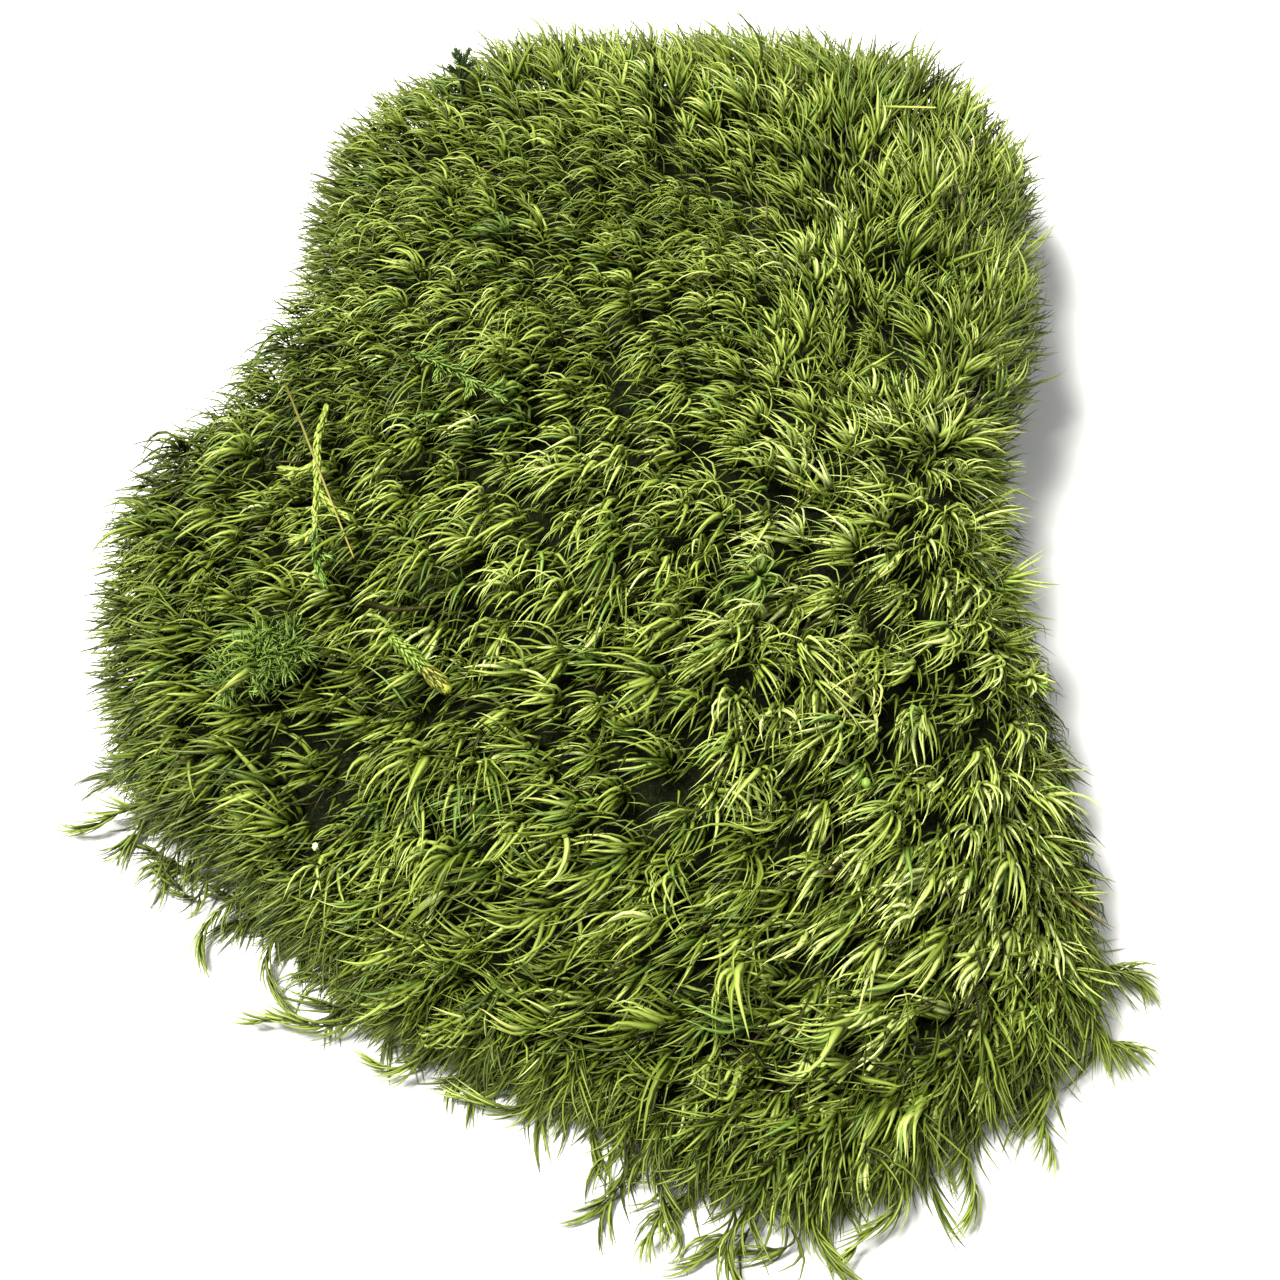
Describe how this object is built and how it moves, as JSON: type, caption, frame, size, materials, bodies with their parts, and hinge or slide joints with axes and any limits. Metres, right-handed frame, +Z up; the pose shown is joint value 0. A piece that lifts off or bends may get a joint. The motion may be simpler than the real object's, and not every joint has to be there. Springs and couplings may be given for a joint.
{
  "type": "moss clump",
  "caption": "Low cushion of broom moss torn off as a sheet: high at the back, sloping to the front, waisted at the right, with loose shoots trailing from its rim and dry strands on top.",
  "frame": {"origin": "middle of the whole clump's plan, on the surface it rests on", "axes": "+Y from the low front edge to the high back, +X to the right seen from the front, +Z up"},
  "size_m": [0.1776, 0.2388, 0.0467],
  "materials": {
    "moss_leaves": "semi-gloss small leaves",
    "trailing_shoot_leaves": "semi-gloss small leaves",
    "straw_feather_moss": "dry, straw coloured",
    "dry_needle": "dry, dull",
    "green_feather_moss": "fresh green, satin",
    "lime_cord_shoot": "satin",
    "dead_stalk": "dull",
    "dark_moss": "dull",
    "blade_leaf": "satin",
    "thin_brown_stalk": "dull",
    "pale_stalk": "dry, dull",
    "green_bud": "satin",
    "pale_speck": "matt"
  },
  "bodies": {
    "root": {"moss_cushion": "moss_leaves", "trailing_shoot_left_1": "trailing_shoot_leaves", "trailing_shoot_left_2": "trailing_shoot_leaves", "trailing_shoot_left_3": "trailing_shoot_leaves", "trailing_shoot_left_4": "trailing_shoot_leaves", "trailing_shoot_front_left_1": "trailing_shoot_leaves", "trailing_shoot_front_left_2": "trailing_shoot_leaves", "trailing_shoot_front_1": "trailing_shoot_leaves", "trailing_shoot_front_2": "trailing_shoot_leaves", "trailing_shoot_front_3": "trailing_shoot_leaves", "trailing_shoot_front_4": "trailing_shoot_leaves", "trailing_shoot_front_5": "trailing_shoot_leaves", "trailing_shoot_front_6": "trailing_shoot_leaves", "trailing_shoot_right_1": "trailing_shoot_leaves", "trailing_shoot_right_2": "trailing_shoot_leaves", "straw_feather_moss_strand": "straw_feather_moss", "dry_needle": "dry_needle", "green_feather_moss_sprig": "green_feather_moss", "green_feather_moss_patch": "green_feather_moss", "lime_cord_shoot": "lime_cord_shoot", "dead_brown_stalk": "dead_stalk", "dark_moss_sprig": "dark_moss", "blade_leaf": "blade_leaf", "thin_brown_stalk": "thin_brown_stalk", "pale_stalk": "pale_stalk", "green_bud": "green_bud", "pale_speck": "pale_speck"}
  },
  "joints": []
}
